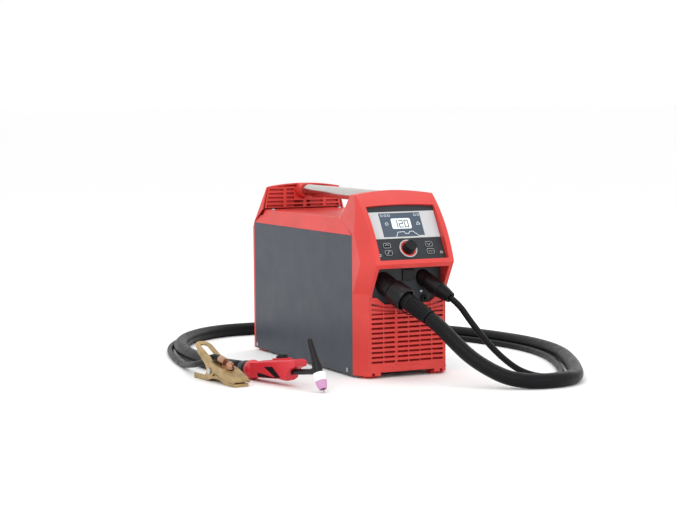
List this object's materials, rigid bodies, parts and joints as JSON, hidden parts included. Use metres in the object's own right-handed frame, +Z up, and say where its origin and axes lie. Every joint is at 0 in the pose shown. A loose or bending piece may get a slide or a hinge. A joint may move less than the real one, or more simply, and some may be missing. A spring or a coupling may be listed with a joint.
{
  "type": "welding power source",
  "caption": "Portable welding power source in a tall narrow case with a tube handle on top, its torch on a thick hose, and a spring work clamp on a thinner lead.",
  "frame": {"origin": "bottom centre of the housing with its rear fittings, level with the feet; the torch, the clamp and their cords are not counted", "axes": "+X to the right seen from the front, +Y from the control panel to the mains end, +Z up"},
  "size_m": [0.8179, 1.109, 0.369],
  "materials": {
    "red_plastic": "satin moulded",
    "grey_paint": "satin powder coat",
    "anthracite_plastic": "fine texture",
    "black_plastic": "satin",
    "black_rubber": "satin",
    "steel": "drawn",
    "zinc_steel": "zinc plated",
    "yellow_steel": "yellow passivated",
    "copper": "bare",
    "silver_plastic": "silver foil",
    "display_plastic": "clear polished",
    "white_plastic": "matt",
    "pink_ceramic": "matt alumina",
    "tungsten": "ground",
    "torch_red": "satin moulded",
    "board_green": "lacquered",
    "aluminium": "extruded",
    "iron": "varnished"
  },
  "bodies": {
    "unit": {"base_chassis": "zinc_steel", "side_panel_left": "grey_paint", "side_panel_right": "grey_paint", "side_screws": "zinc_steel", "front_cover": "red_plastic", "front_grille": "red_plastic", "connector_panel": "anthracite_plastic", "torch_socket": "black_plastic", "work_socket": "black_plastic", "remote_socket": "black_plastic", "gas_socket": "black_plastic", "control_fascia": "anthracite_plastic", "silver_band": "silver_plastic", "display_window": "display_plastic", "control_board": "board_green", "knob_ring": "silver_plastic", "knob_light_ring": "red_plastic", "encoder_body": "zinc_steel", "top_deck": "red_plastic", "deck_screws": "zinc_steel", "rear_cover": "red_plastic", "rear_louvre": "red_plastic", "rear_panel": "grey_paint", "handle_tube": "steel", "mains_switch": "black_plastic", "mains_gland": "black_plastic", "gas_inlet": "copper", "fan_frame": "black_plastic", "heat_sink": "aluminium", "main_transformer": "iron", "power_board": "board_green", "gas_valve": "copper", "torch_plug": "black_plastic", "torch_plug_boot": "black_rubber", "torch_hose": "black_rubber", "torch_cuff": "black_plastic", "torch_handle": "torch_red", "torch_neck": "black_plastic", "back_cap": "black_plastic", "insulator": "white_plastic", "ceramic_nozzle": "pink_ceramic", "electrode": "tungsten", "work_plug": "black_plastic", "work_plug_sleeve": "black_rubber", "work_cable": "black_rubber", "clamp_lower_arm": "yellow_steel", "clamp_pin": "zinc_steel"},
    "fan": {"fan_rotor": "black_plastic"},
    "encoder": {"encoder_plunger": "zinc_steel"},
    "knob": {"adjusting_knob": "black_plastic"},
    "key_1_cap": {"key_1": "black_plastic"},
    "key_2_cap": {"key_2": "black_plastic"},
    "key_3_cap": {"key_3": "black_plastic"},
    "key_4_cap": {"key_4": "black_plastic"},
    "mains_knob": {"mains_switch_knob": "black_plastic"},
    "remote_flap": {"remote_cap": "black_plastic"},
    "trigger": {"torch_trigger": "black_plastic"},
    "clamp_arm": {"clamp_upper_arm": "yellow_steel", "clamp_lug": "copper", "work_cable_tail": "black_rubber"}
  },
  "joints": [
    {"name": "fan_spin", "type": "hinge", "parent": "unit", "child": "fan", "pos_m": [0, 0.24, 0.148], "axis": [0, 1, 0], "continuous": true},
    {"name": "knob_press", "type": "slide", "parent": "unit", "child": "encoder", "axis": [0, 0.8632, -0.5049], "range_m": [0, 0.0006], "stiffness_N_per_m": 3000, "springref_m": -0.0006},
    {"name": "knob_turn", "type": "hinge", "parent": "encoder", "child": "knob", "pos_m": [-0.0035, -0.27346, 0.25908], "axis": [0, -0.8632, 0.5049], "continuous": true},
    {"name": "key_1_press", "type": "slide", "parent": "unit", "child": "key_1_cap", "axis": [0, 0.8632, -0.5049], "range_m": [0, 0.0006], "stiffness_N_per_m": 1500, "springref_m": -0.0005},
    {"name": "key_2_press", "type": "slide", "parent": "unit", "child": "key_2_cap", "axis": [0, 0.8632, -0.5049], "range_m": [0, 0.0006], "stiffness_N_per_m": 1500, "springref_m": -0.0005},
    {"name": "key_3_press", "type": "slide", "parent": "unit", "child": "key_3_cap", "axis": [0, 0.8632, -0.5049], "range_m": [0, 0.0006], "stiffness_N_per_m": 1500, "springref_m": -0.0005},
    {"name": "key_4_press", "type": "slide", "parent": "unit", "child": "key_4_cap", "axis": [0, 0.8632, -0.5049], "range_m": [0, 0.0006], "stiffness_N_per_m": 1500, "springref_m": -0.0005},
    {"name": "mains_switch_turn", "type": "hinge", "parent": "unit", "child": "mains_knob", "pos_m": [0, 0.274, 0.238], "axis": [0, 1, 0], "range_deg": [0, 90]},
    {"name": "remote_flap_swing", "type": "hinge", "parent": "unit", "child": "remote_flap", "pos_m": [0.005, -0.2559, 0.2131], "axis": [-1, 0, 0], "range_deg": [0, 95], "stiffness_Nm_per_rad": 0.005, "springref_deg": -17.19},
    {"name": "trigger_press", "type": "slide", "parent": "unit", "child": "trigger", "axis": [0.0265, -0.113, -0.9932], "range_m": [0, 0.002], "stiffness_N_per_m": 1500, "springref_m": -0.001},
    {"name": "clamp_open", "type": "hinge", "parent": "unit", "child": "clamp_arm", "pos_m": [-0.3564, -0.13269, 0.022], "axis": [-0.9928, -0.12, 0], "range_deg": [0, 18], "stiffness_Nm_per_rad": 1.5, "springref_deg": -28.65, "deforming": ["work_cable_tail"]}
  ]
}
